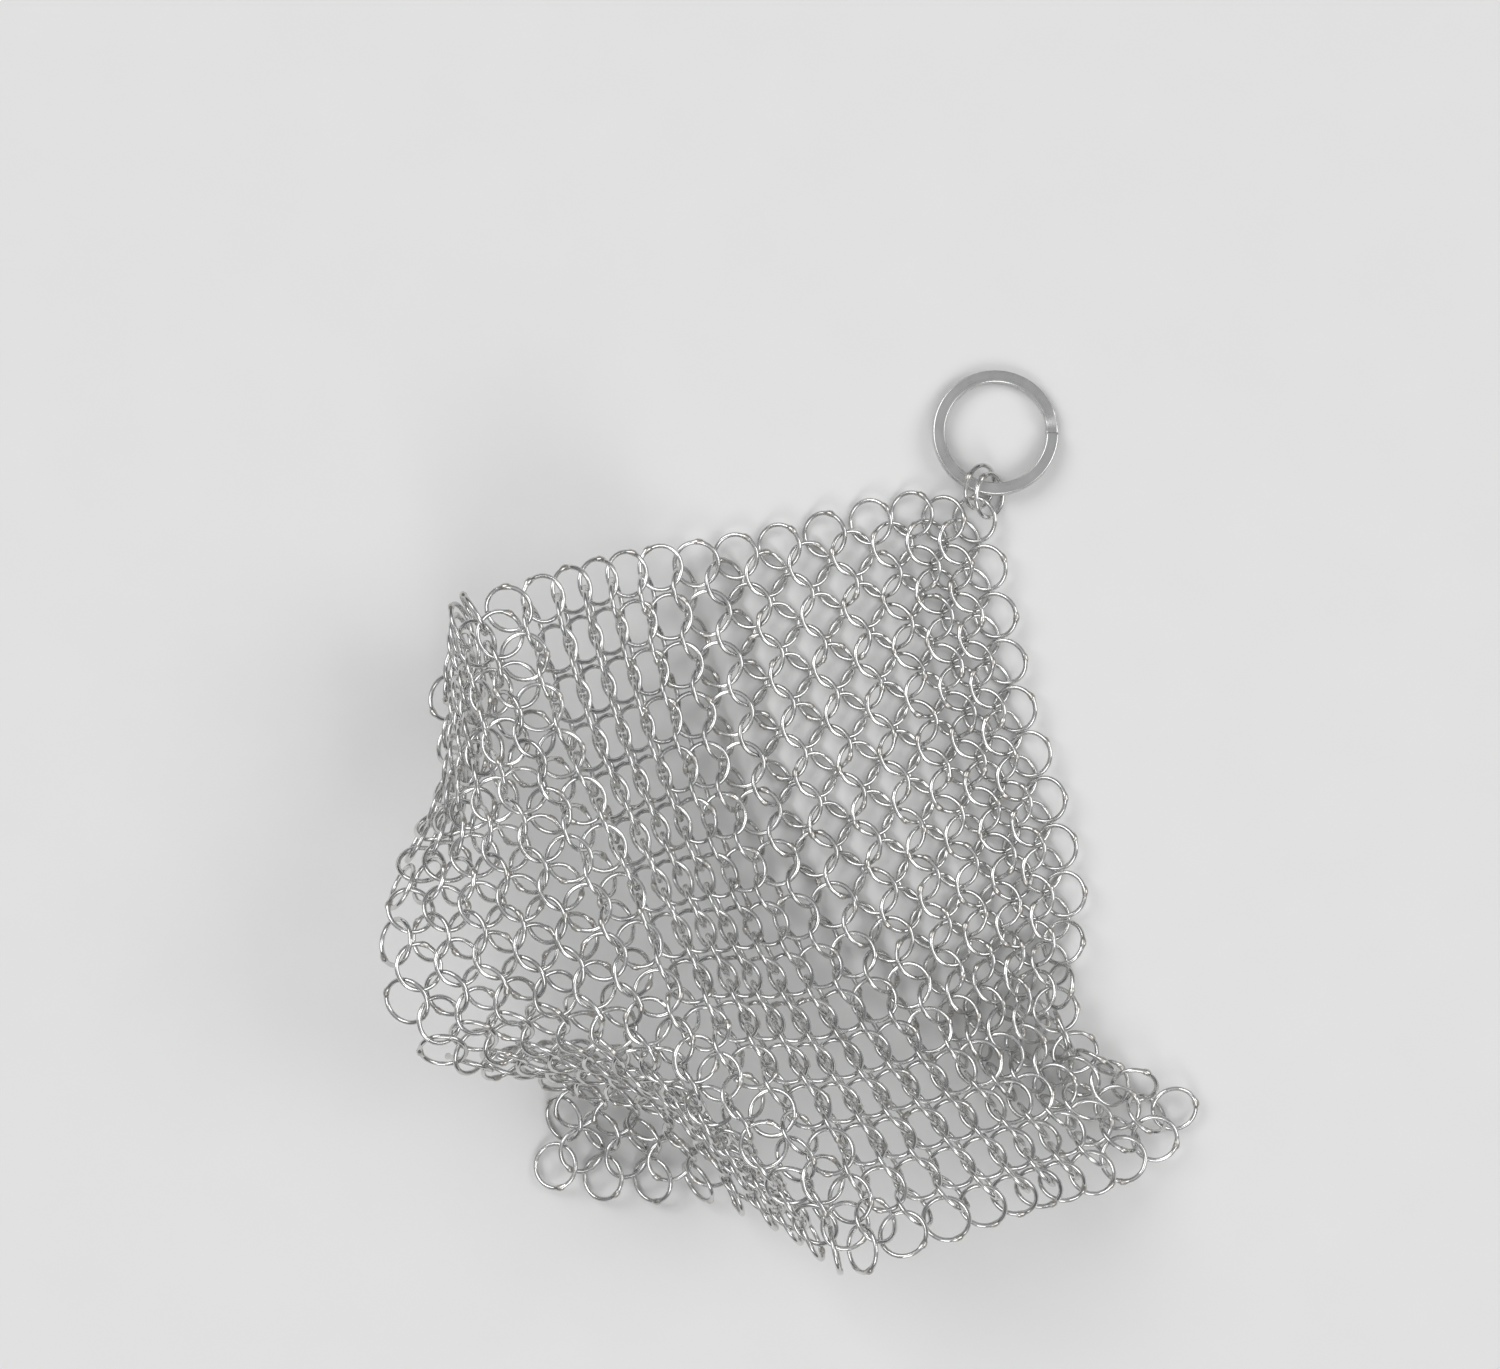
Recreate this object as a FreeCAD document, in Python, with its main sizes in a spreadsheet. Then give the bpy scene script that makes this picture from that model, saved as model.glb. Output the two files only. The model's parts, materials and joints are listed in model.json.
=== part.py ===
"""Ring-mesh scrubber: welded wire rings woven four in one, with a split ring at one corner.

The sheet lies draped: flat on a floor, up a slope, over a crest and a narrow ridge, and down the far side.
The macro first finds how every ring lies. It settles the ring centres over the forming surfaces, then
carries the flat weave to that lie in small stages, so that each ring stays through its own neighbours and
clear of all the others. Then each ring is a torus, each row of rings is one node, and the split ring is
wound from two flat coils with a ramp between them.
"""
import FreeCAD
import Part
import math
import os

os.makedirs("parts", exist_ok=True)
doc = FreeCAD.newDocument("ring_mesh_scrubber")

# driving sizes in millimetres and degrees
SIZES = (
    ("ring_outside", 9.8),
    ("wire_size", 0.95),
    ("ring_gap", 0.15),
    ("ring_lean", 25.0),
    ("link_slack", 0.69),
    ("row_squeeze", 5.8),
    ("column_step", 8.6),
    ("row_play", 0.45),
    ("crest_height", 48.0),
    ("crest_radius", 157.4),
    ("foot_radius", 124.2),
    ("crest_round", 7.0),
    ("ridge_top", 40.0),
    ("ridge_half", 11.0),
    ("ridge_depth", 14.0),
    ("ridge_round", 6.0),
    ("key_outside", 25.4),
    ("band_width", 2.5),
    ("coil_thickness", 1.1),
    ("coil_gap", 0.1),
    ("ramp_start", 12.0),
    ("ramp_span", 21.0),
    ("end_gap", 1.0),
    ("key_bearing", 76.5),
    ("corner_gap", 0.46),
    ("connector_left_at", -3.0),
    ("connector_right_at", 7.9),
    ("connector_lean", 49.8),
    ("band_seat_left", 0.0),
    ("band_seat_right", 1.4),
)

sheet = doc.addObject("Spreadsheet::Sheet", "sizes")
for line, (alias, value) in enumerate(SIZES, 1):
    sheet.set("A%d" % line, alias)
    sheet.set("B%d" % line, str(value))
    sheet.setAlias("B%d" % line, alias)
doc.recompute()
size = {alias: float(sheet.get(alias)) for alias, value in SIZES}

# the weave: long rows and, between them, short rows of one ring fewer
LONG_ROWS = 15
LONG_COUNT = 20
WIRE = size["wire_size"]
RADIUS = (size["ring_outside"] - WIRE) / 2
KEEP = WIRE + size["ring_gap"]
LEAN = math.radians(size["ring_lean"])
# longest and shortest distance between the centres of two linked rings
REACH = size["ring_outside"] - 2 * WIRE - size["link_slack"]
NEAREST = RADIUS + WIRE + size["ring_gap"]
# rings of one column lie in one plane, so they never come closer than side by side
COLUMN_LEAST = size["ring_outside"] + size["ring_gap"]
ROW_STEP = COLUMN_LEAST + size["row_play"]

# the lie is drawn for rings of this size and follows the ring
DRAWN_RING = 9.8
FIT = size["ring_outside"] / DRAWN_RING
# height of the lowest ring centres: a leaning ring that just touches the floor
FLOOR_LIFT = RADIUS * math.sin(LEAN) + WIRE / 2
SLOPE_LIFT = 2.4 * FIT
# middle of the round forming slope, and the way the ridge runs out from its crest
MIDDLE = (108.3 * FIT, 27.9 * FIT)
FOOT = size["foot_radius"] * FIT
CREST = size["crest_radius"] * FIT
CREST_TOP = size["crest_height"] * FIT
CREST_ROUND = size["crest_round"] * FIT
# how far up the slope its face ends and the crest turns over
TIP = 0.92
RIDGE_WAY = (-0.899, -0.439)
RIDGE_TOP = size["ridge_top"] * FIT
RIDGE_HALF = size["ridge_half"] * FIT
RIDGE_LOW = RIDGE_TOP - size["ridge_depth"] * FIT
RIDGE_ROUND = size["ridge_round"] * FIT

# long row: (column, x, y, height) of the places that the row passes
WAYPOINTS = {
    0: ((0, 45, 31, 0), (1, 39, 33, 0), (2, 33, 35, 0), (4, 15, 30, 0), (7, -11, 24, 3), (10, -31, 20, 25),
        (12, -45, 18, 46), (13, -49, 16, 51), (14, -54, 14, 46), (16, -56, 9, 28), (19, -57, -1, 7)),
    2: ((0, 50, 12, 0), (2, 38, 14, 0), (4, 20, 9, 0), (7, -6, 3, 2), (10, -25, 0, 22), (12, -36, -2, 43),
        (13, -43, -3, 51), (15, -52, -8, 43), (17, -55, -12, 28), (19, -58, -16, 15)),
    4: ((0, 53, -6, 0), (2, 43, -6, 0), (4, 25, -11, 0), (7, -2, -18, 2), (10, -18, -21, 20),
        (12, -27, -22, 40), (14, -38, -24, 51), (15, -47, -27, 48), (17, -57, -30, 41),
        (19, -64, -30, 30)),
    7: ((0, 61, -33, 0), (2, 51, -36, 0), (4, 35, -40, 0), (7, 9, -47, 7), (10, -7, -50, 28),
        (13, -22, -50, 49), (15, -36, -55, 50), (17, -51, -59, 47), (19, -70, -58, 46)),
    9: ((0, 63, -52, 1), (2, 53, -55, 1), (4, 40, -58, 3), (7, 18, -65, 14), (10, 2, -66, 36),
        (13, -14, -68, 51), (15, -28, -71, 42), (17, -40, -71, 35), (19, -57, -73, 33)),
    10: ((0, 62, -62, 6), (2, 53, -63, 9), (4, 43, -66, 6), (7, 23, -72, 18), (10, 7, -74, 41),
         (12.6, -9, -75, 51), (15, -21, -77, 32), (17, -34, -73, 25), (19, -50, -74, 24)),
    11: ((0, 62, -68, 9), (2, 55, -71, 4), (4, 47, -74, 7), (7, 29, -79, 23), (10, 11, -81, 46),
         (12, -2, -81, 51), (13, -6, -83, 41), (15, -16, -81, 22), (17, -29, -76, 16), (19, -44, -75, 15)),
    12: ((0, 67, -75, 5), (2, 60, -79, 6), (4, 53, -82, 10), (7, 35, -85, 27), (10, 16, -89, 48),
         (11, 8, -89, 51), (13, -2, -91, 35), (15, -12, -86, 11), (17, -24, -81, 6), (19, -38, -77, 6)),
    13: ((0, 76, -80, 3), (2, 67, -87, 6), (4, 57, -90, 15), (7, 40, -93, 31), (10, 19, -97, 50),
         (12, 9, -98, 41), (13, 3, -98, 32), (15, -8, -94, 5), (17, -21, -90, 2), (19, -37, -86, 1)),
    14: ((0, 85, -85, 1), (2, 74, -94, 6), (4, 61, -98, 20), (7, 45, -100, 35), (9, 27, -107, 51),
         (10.5, 18, -108, 49), (12, 12, -107, 37), (13.5, 6, -104, 25), (15, -3, -102, 6),
         (16, -9, -100, 2), (17, -19, -100, 0), (18, -29, -100, 0), (19, -39, -96, 0)),
}

# settling the centres: the drop of each step, the pull to the drawn places and the smoothing all fade
SETTLE_STEPS = 700
FALL = 0.2
FALL_FADE = 1.05
PULL = 0.1
PULL_FADE = 1.25
LEAST_PULL = 0.6
SMOOTH = 0.3
LEAST_SMOOTH = 0.35
# the share of a wrong distance that each of two centres makes good, where they draw in and where they part
DRAW_SHARE = 0.5
PART_SHARE = 0.25
# carrying the flat sheet to its lie: stages, passes that part the rings, and the column that leads each row
STAGES = 80
FIRST_PASSES = 40
STAGE_PASSES = 2
LAST_PASSES = 200
STAGE_DRAW = 0.05
FLAT_TURN = math.radians(8)
PINNED = 6
# parting the rings: stations round a wire, how near a wire counts, and how much of a push each pass makes
SAMPLES = 20
STATION_TRY = 0.12
NEAR_WIRE = 3.0
PAIR_MARGIN = 1.5
PAIR_PASSES = 10
PUSH_SHARE = 0.7
PUSH_SPARE = 0.01


def unit(v):
    """Return v at length one."""
    d = math.sqrt(v[0] * v[0] + v[1] * v[1] + v[2] * v[2])
    return [v[0] / d, v[1] / d, v[2] / d]


def cross(a, b):
    """Return the vector product."""
    return [a[1] * b[2] - a[2] * b[1], a[2] * b[0] - a[0] * b[2], a[0] * b[1] - a[1] * b[0]]


def dot(a, b):
    """Return the scalar product."""
    return a[0] * b[0] + a[1] * b[1] + a[2] * b[2]


def sub(a, b):
    """Return a - b."""
    return [a[0] - b[0], a[1] - b[1], a[2] - b[2]]


def along_row(stations, column):
    """Return the place of a column on one drawn row."""
    for a, b in zip(stations, stations[1:]):
        if column <= b[0]:
            break
    f = (column - a[0]) / (b[0] - a[0])
    return [(p + (q - p) * f) * FIT for p, q in zip(a[1:], b[1:])]


def drawn_place(row, column):
    """Return the drawn place of a ring, rows and columns counted in long rows."""
    keys = sorted(WAYPOINTS)
    for a, b in zip(keys, keys[1:]):
        if row <= b:
            break
    f = (row - a) / (b - a)
    p = along_row(WAYPOINTS[a], column)
    q = along_row(WAYPOINTS[b], column)
    x, y, z = [u + (v - u) * f for u, v in zip(p, q)]
    return [x, y, z + FLOOR_LIFT]


def lay_out():
    """Return the rings, their numbers by (kind, row, column), the links, the neighbours and the lines."""
    rings = []
    number = {}
    for i in range(LONG_ROWS):
        for j in range(LONG_COUNT):
            number["long", i, j] = len(rings)
            rings.append(drawn_place(i, j))
        if i < LONG_ROWS - 1:
            for j in range(LONG_COUNT - 1):
                number["short", i, j] = len(rings)
                rings.append(drawn_place(i + 0.5, j + 0.5))
    links = []
    for i in range(LONG_ROWS - 1):
        for j in range(LONG_COUNT - 1):
            for di in (0, 1):
                for dj in (0, 1):
                    links.append((number["short", i, j], number["long", i + di, j + dj]))
    beside = []
    for (kind, i, j), k in number.items():
        if (kind, i, j + 1) in number:
            beside.append((k, number[kind, i, j + 1], size["row_squeeze"]))
        if (kind, i + 1, j) in number:
            beside.append((k, number[kind, i + 1, j], COLUMN_LEAST))
    rows = []
    columns = []
    for kind, count, length, offset in (("long", LONG_ROWS, LONG_COUNT, 0.0),
                                        ("short", LONG_ROWS - 1, LONG_COUNT - 1, 0.5)):
        for i in range(count):
            rows.append(([number[kind, i, j] for j in range(length)], offset, i + offset))
        for j in range(length):
            columns.append([number[kind, i, j] for i in range(count)])
    return rings, number, links, beside, rows, columns


def push_out(p):
    """Return p moved out of the floor, the slope with its crest and upright back, and the ridge."""
    x, y, z = p
    z = max(z, FLOOR_LIFT)
    dx = x - MIDDLE[0]
    dy = y - MIDDLE[1]
    rho = math.hypot(dx, dy)
    run = CREST - FOOT
    t = ((rho - FOOT) * run + z * CREST_TOP) / (run * run + CREST_TOP * CREST_TOP)
    t = min(TIP, max(0.0, t))
    back = FOOT + TIP * run
    # away from the slope, counted from its face, and away from the upright back
    nr = rho - FOOT - t * run
    nz = z - t * CREST_TOP
    d = math.hypot(nr, nz)
    lift = SLOPE_LIFT + (CREST_ROUND - SLOPE_LIFT) * t ** 4
    within = nz < 0 and FOOT < rho < back
    behind = rho >= back or (within and back - rho < d)
    out = rho
    if behind and z < TIP * CREST_TOP and rho < back + CREST_ROUND:
        out = back + CREST_ROUND
    elif within or d < lift:
        if within or d < 1e-6:
            nr, nz, d = -CREST_TOP, run, math.hypot(run, CREST_TOP)
        out = FOOT + t * run + nr / d * lift
        z = t * CREST_TOP + nz / d * lift
    if out != rho:
        x = MIDDLE[0] + dx / rho * out
        y = MIDDLE[1] + dy / rho * out
        dx = x - MIDDLE[0]
        dy = y - MIDDLE[1]
    if dx * RIDGE_WAY[0] + dy * RIDGE_WAY[1] > CREST:
        side = dy * RIDGE_WAY[0] - dx * RIDGE_WAY[1]
        core = min(RIDGE_HALF, max(-RIDGE_HALF, side))
        top = min(RIDGE_TOP, max(RIDGE_LOW, z))
        ns = side - core
        nz = z - top
        d = math.hypot(ns, nz)
        if d < RIDGE_ROUND:
            if d < 1e-6:
                ns, nz, d = 0.0, 1.0, 1.0
                top = RIDGE_TOP
            move = core + ns / d * RIDGE_ROUND - side
            z = top + nz / d * RIDGE_ROUND
            x -= move * RIDGE_WAY[1]
            y += move * RIDGE_WAY[0]
    return [x, y, z]


def draw_near(rings, a, b, share, goal):
    """Move two centres so that a share of the difference from their goal distance is made good."""
    p = rings[a]
    q = rings[b]
    dx = q[0] - p[0]
    dy = q[1] - p[1]
    dz = q[2] - p[2]
    f = share - share * goal / math.sqrt(dx * dx + dy * dy + dz * dz)
    p[0] += dx * f
    p[1] += dy * f
    p[2] += dz * f
    q[0] -= dx * f
    q[1] -= dy * f
    q[2] -= dz * f


def smooth_line(rings, line, share):
    """Take sharp bends out of one row or column."""
    ps = [rings[k] for k in line]
    for m in range(1, len(ps) - 1):
        o = ps[m]
        a = ps[m - 1]
        b = ps[m + 1]
        if 1 < m < len(ps) - 2:
            aa = ps[m - 2]
            bb = ps[m + 2]
            for c in range(3):
                o[c] -= share * (aa[c] - 4 * a[c] + 6 * o[c] - 4 * b[c] + bb[c]) / 16
        else:
            for c in range(3):
                o[c] -= share * (2 * o[c] - a[c] - b[c]) / 8


def settle(rings, number, links, beside, lines):
    """Let the centres fall on the forming surfaces, held by their links and drawn places."""
    held = []
    for row, stations in WAYPOINTS.items():
        for station in stations:
            column = round(station[0])
            held.append((number["long", row, column], drawn_place(row, column)))
    for n in range(SETTLE_STEPS):
        fall = FALL * max(0.0, 1.0 - FALL_FADE * n / SETTLE_STEPS)
        pull = PULL * max(LEAST_PULL, 1.0 - PULL_FADE * n / SETTLE_STEPS)
        share = SMOOTH * max(LEAST_SMOOTH, 1.0 - n / SETTLE_STEPS)
        for p in rings:
            p[2] -= fall
        for k, goal in held:
            p = rings[k]
            for c in range(3):
                p[c] += pull * (goal[c] - p[c])
        for a, b in links:
            d = math.dist(rings[a], rings[b])
            if d > REACH:
                draw_near(rings, a, b, DRAW_SHARE, REACH)
            elif d < NEAREST:
                draw_near(rings, a, b, PART_SHARE, NEAREST)
        for a, b, least in beside:
            if math.dist(rings[a], rings[b]) < least:
                draw_near(rings, a, b, PART_SHARE, least)
        for line in lines:
            smooth_line(rings, line, share)
        for k, p in enumerate(rings):
            rings[k] = push_out(p)


def leaning(rings, number):
    """Return each ring's axis: long rows lean one way about their column, short rows the other."""
    axes = [None] * len(rings)
    for (kind, i, j), k in number.items():
        ahead = number.get((kind, i, j + 1), k)
        behind = number.get((kind, i, j - 1), k)
        below = number.get((kind, i + 1, j), k)
        above = number.get((kind, i - 1, j), k)
        down = unit(sub(rings[below], rings[above]))
        n = unit(cross(sub(rings[ahead], rings[behind]), down))
        u = cross(down, n)
        lean = LEAN if kind == "long" else -LEAN
        axes[k] = unit([n[c] * math.cos(lean) + u[c] * math.sin(lean) for c in range(3)])
    return axes


def plane_of(n):
    """Return two directions across the axis n."""
    ref = (1.0, 0.0, 0.0) if abs(n[0]) < 0.8 else (0.0, 1.0, 0.0)
    e = unit(cross(n, ref))
    return e, cross(n, e)


TURNS = [(math.cos(2 * math.pi * s / SAMPLES), math.sin(2 * math.pi * s / SAMPLES)) for s in range(SAMPLES)]


def approaches(ca, ea, fa, cb, nb):
    """Return the places where wire a comes near wire b: (distance squared, arm on a, arm on b, offset)."""
    ox, oy, oz = sub(ca, cb)
    nx, ny, nz = nb
    far = []
    for c, s in TURNS:
        wx = ox + RADIUS * (c * ea[0] + s * fa[0])
        wy = oy + RADIUS * (c * ea[1] + s * fa[1])
        wz = oz + RADIUS * (c * ea[2] + s * fa[2])
        h = wx * nx + wy * ny + wz * nz
        rho = math.sqrt(max(wx * wx + wy * wy + wz * wz - h * h, 0.0)) - RADIUS
        far.append(h * h + rho * rho)
    found = []
    for k in range(SAMPLES):
        mid = far[k]
        low = far[k - 1]
        high = far[k + 1 - SAMPLES]
        if mid > low or mid >= high or mid > NEAR_WIRE ** 2:
            continue
        bend = low - 2 * mid + high
        t = 0.5 * (low - high) / bend if bend > 1e-9 else 0.0
        best = None
        for part in (t - STATION_TRY, t, t + STATION_TRY):
            angle = 2 * math.pi * (k + part) / SAMPLES
            c = RADIUS * math.cos(angle)
            s = RADIUS * math.sin(angle)
            arm = (c * ea[0] + s * fa[0], c * ea[1] + s * fa[1], c * ea[2] + s * fa[2])
            w = (ox + arm[0], oy + arm[1], oz + arm[2])
            h = w[0] * nx + w[1] * ny + w[2] * nz
            q = (w[0] - h * nx, w[1] - h * ny, w[2] - h * nz)
            rho = math.sqrt(q[0] * q[0] + q[1] * q[1] + q[2] * q[2])
            d2 = h * h + (rho - RADIUS) ** 2
            if best is None or d2 < best[0]:
                g = RADIUS / rho
                best = (d2, arm, (q[0] * g, q[1] * g, q[2] * g), w)
        found.append(best)
    return found


def near_pairs(rings, reach):
    """Return the pairs of rings whose centres are nearer than reach."""
    cells = {}
    for k, p in enumerate(rings):
        cells.setdefault((int(p[0] // reach), int(p[1] // reach), int(p[2] // reach)), []).append(k)
    pairs = []
    for (x, y, z), members in cells.items():
        around = []
        for dx in (-1, 0, 1):
            for dy in (-1, 0, 1):
                for dz in (-1, 0, 1):
                    around.extend(cells.get((x + dx, y + dy, z + dz), ()))
        for a in members:
            for b in around:
                if a < b and math.dist(rings[a], rings[b]) < reach:
                    pairs.append((a, b))
    return pairs


def across(arm, push, axis):
    """Return the turning moment of a push at an arm, without the part about the ring's own axis."""
    m = cross(arm, push)
    k = dot(m, axis)
    return [m[c] - k * axis[c] for c in range(3)]


def part_rings(rings, axes, passes):
    """Move and turn the rings as stiff hoops until every two keep their distance."""
    ease = 2.0 / (RADIUS * RADIUS)
    touch = (2 * RADIUS + KEEP) ** 2
    pairs = []
    for n in range(passes):
        if n % PAIR_PASSES == 0:
            pairs = near_pairs(rings, 2 * RADIUS + KEEP + PAIR_MARGIN)
        planes = [plane_of(v) for v in axes]
        short = 0
        for a, b in pairs:
            ca = rings[a]
            cb = rings[b]
            if (ca[0] - cb[0]) ** 2 + (ca[1] - cb[1]) ** 2 + (ca[2] - cb[2]) ** 2 > touch:
                continue
            na = axes[a]
            nb = axes[b]
            for d2, arm_a, arm_b, w in approaches(ca, planes[a][0], planes[a][1], cb, nb):
                d = math.sqrt(d2)
                if d >= KEEP or d < 1e-6:
                    continue
                short += 1
                push = [(w[c] - arm_b[c]) / d for c in range(3)]
                ta = across(arm_a, push, na)
                tb = across(arm_b, push, nb)
                give = 2 + ease * (dot(ta, ta) + dot(tb, tb))
                step = PUSH_SHARE * (KEEP - d + PUSH_SPARE) / give
                ca = rings[a] = [ca[c] + step * push[c] for c in range(3)]
                cb = rings[b] = [cb[c] - step * push[c] for c in range(3)]
                turn = cross([ease * step * m for m in ta], na)
                na = axes[a] = unit([na[c] + turn[c] for c in range(3)])
                turn = cross([-ease * step * m for m in tb], nb)
                nb = axes[b] = unit([nb[c] + turn[c] for c in range(3)])
        for k, p in enumerate(rings):
            under = RADIUS * math.sqrt(max(0.0, 1 - axes[k][2] ** 2)) + WIRE / 2 - p[2]
            if under > 0:
                p[2] += under
        if short == 0:
            break


def between(p, q, f):
    """Return the direction a fraction f of the way from direction p to direction q."""
    w = math.acos(max(-1.0, min(1.0, dot(p, q))))
    if w < 1e-4:
        return q
    if w > math.pi - 1e-3:
        return between(p, unit([q[0], q[1], q[2] + 0.01]), f)
    s = math.sin(w)
    return [(math.sin((1 - f) * w) * a + math.sin(f * w) * b) / s for a, b in zip(p, q)]


def stage(rows, goal, origin, f):
    """Return the centres a fraction f of the way from the flat sheet to the settled one."""
    places = [None] * len(goal)
    row_way = [-math.cos(FLAT_TURN), -math.sin(FLAT_TURN), 0.0]
    column_way = [math.sin(FLAT_TURN), -math.cos(FLAT_TURN), 0.0]
    step_u = size["column_step"] * FIT
    for line, offset, row in rows:
        target = goal[line[PINNED]]
        u = (PINNED + offset) * step_u
        v = row * ROW_STEP
        flat = [origin[c] + row_way[c] * u + column_way[c] * v for c in range(3)]
        pin = [flat[c] + (target[c] - flat[c]) * f for c in range(3)]
        places[line[PINNED]] = pin
        for step in (1, -1):
            p = pin
            k = PINNED
            while 0 <= k + step < len(line):
                leg = sub(goal[line[k + step]], goal[line[k]])
                way = between([step * c for c in row_way], unit(leg), f)
                length = step_u + (math.hypot(*leg) - step_u) * f
                p = [p[c] + way[c] * length for c in range(3)]
                k += step
                places[line[k]] = p
    return places


def turned(v, a, b):
    """Return v turned by the least turn that takes direction a to direction b."""
    axis = cross(a, b)
    c = dot(a, b)
    if c < -0.999:
        return v
    w = cross(axis, v)
    k = dot(axis, v) / (1.0 + c)
    return unit([c * v[m] + w[m] + k * axis[m] for m in range(3)])


def drape():
    """Return the centres and axes of all weave rings, and their numbers."""
    goal, number, links, beside, rows, columns = lay_out()
    settle(goal, number, links, beside, [line for line, offset, row in rows] + columns)
    origin = goal[number["long", 0, 0]]
    before = stage(rows, goal, origin, 0.0)
    rings = [list(p) for p in before]
    aim = leaning(before, number)
    axes = [list(n) for n in aim]
    part_rings(rings, axes, FIRST_PASSES)
    for s in range(1, STAGES + 1):
        f = s / STAGES
        now = stage(rows, goal, origin, f * f * (3 - 2 * f))
        aim_now = leaning(now, number)
        for k, p in enumerate(rings):
            moved = [p[c] + now[k][c] - before[k][c] for c in range(3)]
            rings[k] = [moved[c] + STAGE_DRAW * (now[k][c] - moved[c]) for c in range(3)]
            axes[k] = turned(axes[k], aim[k], aim_now[k])
        part_rings(rings, axes, STAGE_PASSES)
        before = now
        aim = aim_now
    part_rings(rings, axes, LAST_PASSES)
    return rings, axes, number


rings, axes, number = drape()

# the split ring lies beyond the corner ring, and the connector rings hold its near band to that ring
BAND_MIDDLE = (size["key_outside"] - size["band_width"]) / 2
HALF_BAND = size["coil_thickness"] + size["coil_gap"] / 2
corner = rings[number["long", 0, 0]]
bearing = math.radians(size["key_bearing"])
key_reach = size["ring_outside"] / 2 + size["corner_gap"] + size["key_outside"] / 2
key_plan = (corner[0] + key_reach * math.cos(bearing), corner[1] + key_reach * math.sin(bearing))
tip_up = math.radians(size["connector_lean"])
seat_height = RADIUS * math.sin(tip_up) + WIRE / 2 + size["ring_gap"]


def band_way(angle):
    """Return the direction from the split ring's middle to its band, by the angle from the corner ring."""
    turn = bearing + math.pi + math.radians(angle)
    return [math.cos(turn), math.sin(turn), 0.0]


# the connector rings lean the other way than the corner ring, each about its own line to the middle
for name in ("left", "right"):
    way = band_way(size["connector_%s_at" % name])
    reach = BAND_MIDDLE + size["band_seat_%s" % name]
    number["connector", name] = len(rings)
    rings.append([key_plan[0] + way[0] * reach, key_plan[1] + way[1] * reach, seat_height])
    axes.append([-way[1] * math.sin(tip_up), way[0] * math.sin(tip_up), math.cos(tip_up)])

# the split ring rests with its far edge on the floor and its near band in the connector rings
near_way = band_way((size["connector_left_at"] + size["connector_right_at"]) / 2)
band_at = [key_plan[0] + near_way[0] * BAND_MIDDLE, key_plan[1] + near_way[1] * BAND_MIDDLE, seat_height]
key_drop = math.asin((seat_height - HALF_BAND) / (size["key_outside"] - size["band_width"] / 2))
key_way = [-near_way[0] * math.cos(key_drop), -near_way[1] * math.cos(key_drop), -math.sin(key_drop)]
key_side = [-near_way[1], near_way[0], 0.0]
key_middle = [band_at[c] + key_way[c] * BAND_MIDDLE for c in range(3)]
key_axis = cross(key_side, key_way)

# the origin is the middle of the part's box, at the floor
low = [1e9, 1e9, 1e9]
high = [-1e9, -1e9, -1e9]
for p, n in zip(rings + [key_middle], axes + [key_axis]):
    is_key = p is key_middle
    for c in range(3):
        tip = math.sqrt(max(0.0, 1 - n[c] ** 2))
        out = tip * RADIUS + WIRE / 2
        if is_key:
            out = tip * size["key_outside"] / 2 + abs(n[c]) * HALF_BAND
        low[c] = min(low[c], p[c] - out)
        high[c] = max(high[c], p[c] + out)
shift = [-(low[0] + high[0]) / 2, -(low[1] + high[1]) / 2, -low[2]]
rings = [[p[c] + shift[c] for c in range(3)] for p in rings]
key_middle = [key_middle[c] + shift[c] for c in range(3)]
band_at = [band_at[c] + shift[c] for c in range(3)]


def add_ring(name, k):
    """Add ring k to the document as a torus and return it."""
    ring = doc.addObject("Part::Torus", name)
    ring.setExpression("Radius1", "(sizes.ring_outside - sizes.wire_size) / 2")
    ring.setExpression("Radius2", "sizes.wire_size / 2")
    turn = FreeCAD.Rotation(FreeCAD.Vector(0, 0, 1), FreeCAD.Vector(*axes[k]))
    ring.Placement = FreeCAD.Placement(FreeCAD.Vector(*rings[k]), turn)
    return ring


nodes = []
CORNERS = {
    ("long", 0, 0): "corner_ring_key",
    ("long", 0, LONG_COUNT - 1): "corner_ring_top_left",
    ("long", LONG_ROWS - 1, 0): "corner_ring_bottom_right",
    ("long", LONG_ROWS - 1, LONG_COUNT - 1): "corner_ring_bottom_left",
    ("connector", "left"): "connector_ring_left",
    ("connector", "right"): "connector_ring_right",
}
for line in range(2 * LONG_ROWS - 1):
    kind = "short" if line % 2 else "long"
    members = []
    for j in range(LONG_COUNT - line % 2):
        key = (kind, line // 2, j)
        if key not in CORNERS:
            members.append(add_ring("ring_%02d_%02d" % (line + 1, j + 1), number[key]))
    row = doc.addObject("Part::Compound", "mesh_row_%02d" % (line + 1))
    row.Links = members
    nodes.append(row)
for key, name in CORNERS.items():
    nodes.append(add_ring(name, number[key]))


def add_coil(name, start, bottom):
    """Add one flat coil of the split ring, open where the ramp passes, and return it."""
    outer = doc.addObject("Part::Cylinder", name + "_outer")
    outer.setExpression("Radius", "sizes.key_outside / 2")
    outer.setExpression("Height", "sizes.coil_thickness")
    outer.setExpression("Angle", "360 - sizes.ramp_span - sizes.end_gap")
    outer.setExpression("Placement.Rotation.Angle", start)
    outer.setExpression("Placement.Base.z", bottom)
    inner = doc.addObject("Part::Cylinder", name + "_inner")
    inner.setExpression("Radius", "sizes.key_outside / 2 - sizes.band_width")
    inner.setExpression("Height", "sizes.coil_thickness * 3")
    inner.setExpression("Placement.Base.z", bottom + " - sizes.coil_thickness")
    coil = doc.addObject("Part::Cut", name)
    coil.Base = outer
    coil.Tool = inner
    return coil


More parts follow.
